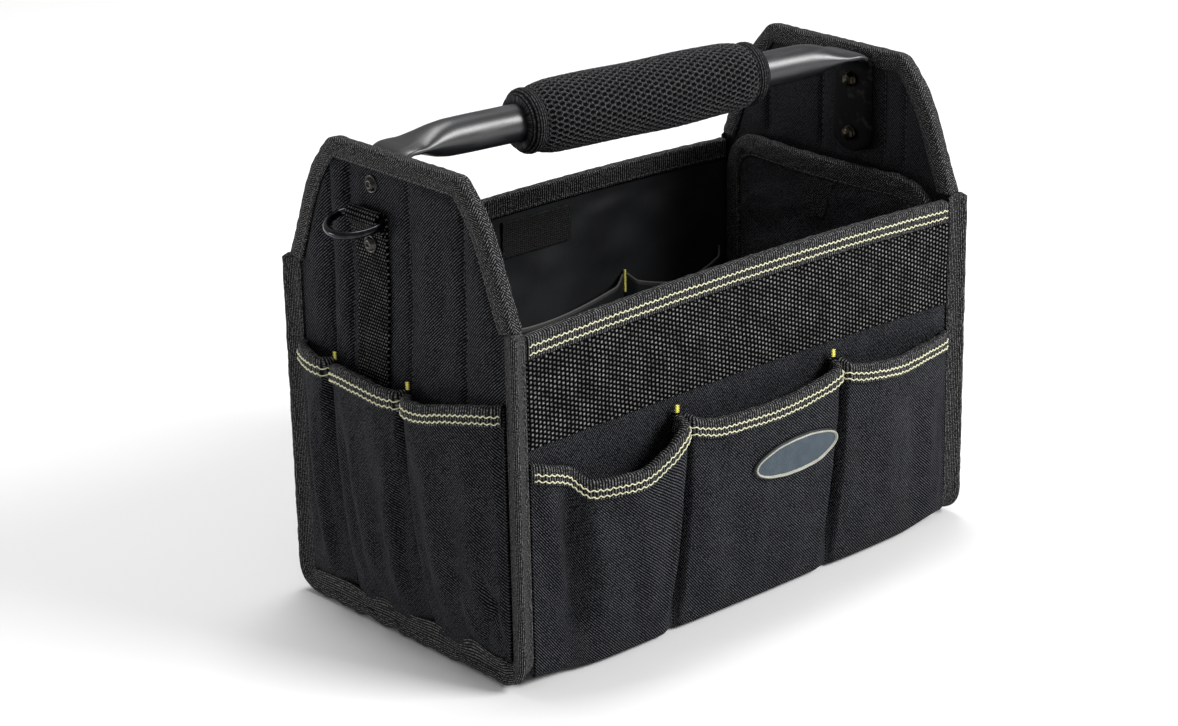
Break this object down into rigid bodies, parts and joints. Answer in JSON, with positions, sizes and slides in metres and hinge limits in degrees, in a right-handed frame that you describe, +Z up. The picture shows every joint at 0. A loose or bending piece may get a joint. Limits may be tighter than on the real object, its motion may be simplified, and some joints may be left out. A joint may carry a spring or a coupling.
{
  "type": "tool tote",
  "caption": "Open-top black fabric tool tote with raised ends, a padded steel tube handle, outside pockets all round and a strap ring on each end.",
  "frame": {"origin": "on the floor, under the middle of the body", "axes": "+Z up, +X along the length, -Y towards the front with the badge"},
  "size_m": [0.3758, 0.2214, 0.28],
  "materials": {
    "cloth": "matte twill",
    "lining_cloth": "matte plain weave",
    "webbing": "coarse ribbed",
    "binding_tape": "fine ribbed, pale yellow zigzag stitching on the rims",
    "grip_mesh": "matte spacer mesh",
    "painted_tube": "satin black",
    "ring_steel": "blackened, glossy",
    "bolt_steel": "dark plated",
    "badge_rubber": "matte, with a raised pale border",
    "hook_tape": "short hooks"
  },
  "bodies": {
    "tote": {"front_rim_tape": "binding_tape", "front_webbing_band": "webbing", "front_pocket_1": "cloth", "front_pocket_1_tape": "binding_tape", "front_pocket_2": "cloth", "front_pocket_2_tape": "binding_tape", "front_pocket_3": "cloth", "front_pocket_3_tape": "binding_tape", "back_rim_tape": "binding_tape", "back_webbing_band": "webbing", "back_pocket_1": "cloth", "back_pocket_1_tape": "binding_tape", "back_pocket_2": "cloth", "back_pocket_2_tape": "binding_tape", "back_pocket_3": "cloth", "back_pocket_3_tape": "binding_tape", "left_end_panel": "cloth", "left_end_binding": "binding_tape", "left_corner_seam": "binding_tape", "left_end_pocket_1": "cloth", "left_end_pocket_1_tape": "binding_tape", "left_end_pocket_2": "cloth", "left_end_pocket_2_tape": "binding_tape", "left_end_pocket_3": "cloth", "left_end_pocket_3_tape": "binding_tape", "left_strap": "webbing", "left_lower_bolt": "bolt_steel", "left_upper_bolt": "bolt_steel", "left_liner": "lining_cloth", "left_liner_binding": "binding_tape", "right_end_panel": "cloth", "right_end_binding": "binding_tape", "right_corner_seam": "binding_tape", "right_end_pocket_1": "cloth", "right_end_pocket_1_tape": "binding_tape", "right_end_pocket_2": "cloth", "right_end_pocket_2_tape": "binding_tape", "right_end_pocket_3": "cloth", "right_end_pocket_3_tape": "binding_tape", "right_strap": "webbing", "right_lower_bolt": "bolt_steel", "right_upper_bolt": "bolt_steel", "right_liner": "lining_cloth", "right_liner_binding": "binding_tape", "body_wrap": "cloth", "badge": "badge_rubber", "liner_tab": "webbing", "handle_tube": "painted_tube", "grip_sleeve": "grip_mesh", "left_grip_band": "binding_tape", "right_grip_band": "binding_tape", "inner_pocket_left": "lining_cloth", "inner_pocket_middle": "lining_cloth", "inner_pocket_right": "lining_cloth", "hook_patch": "hook_tape"},
    "left_ring": {"left_strap_ring": "ring_steel"},
    "right_ring": {"right_strap_ring": "ring_steel"}
  },
  "joints": [
    {"name": "left_ring_swing", "type": "hinge", "parent": "tote", "child": "left_ring", "pos_m": [-0.1654, 0.018, 0.229], "axis": [0, 1, 0], "range_deg": [-68, 92]},
    {"name": "right_ring_swing", "type": "hinge", "parent": "tote", "child": "right_ring", "pos_m": [0.1654, -0.018, 0.229], "axis": [0, -1, 0], "range_deg": [-68, 92]}
  ]
}
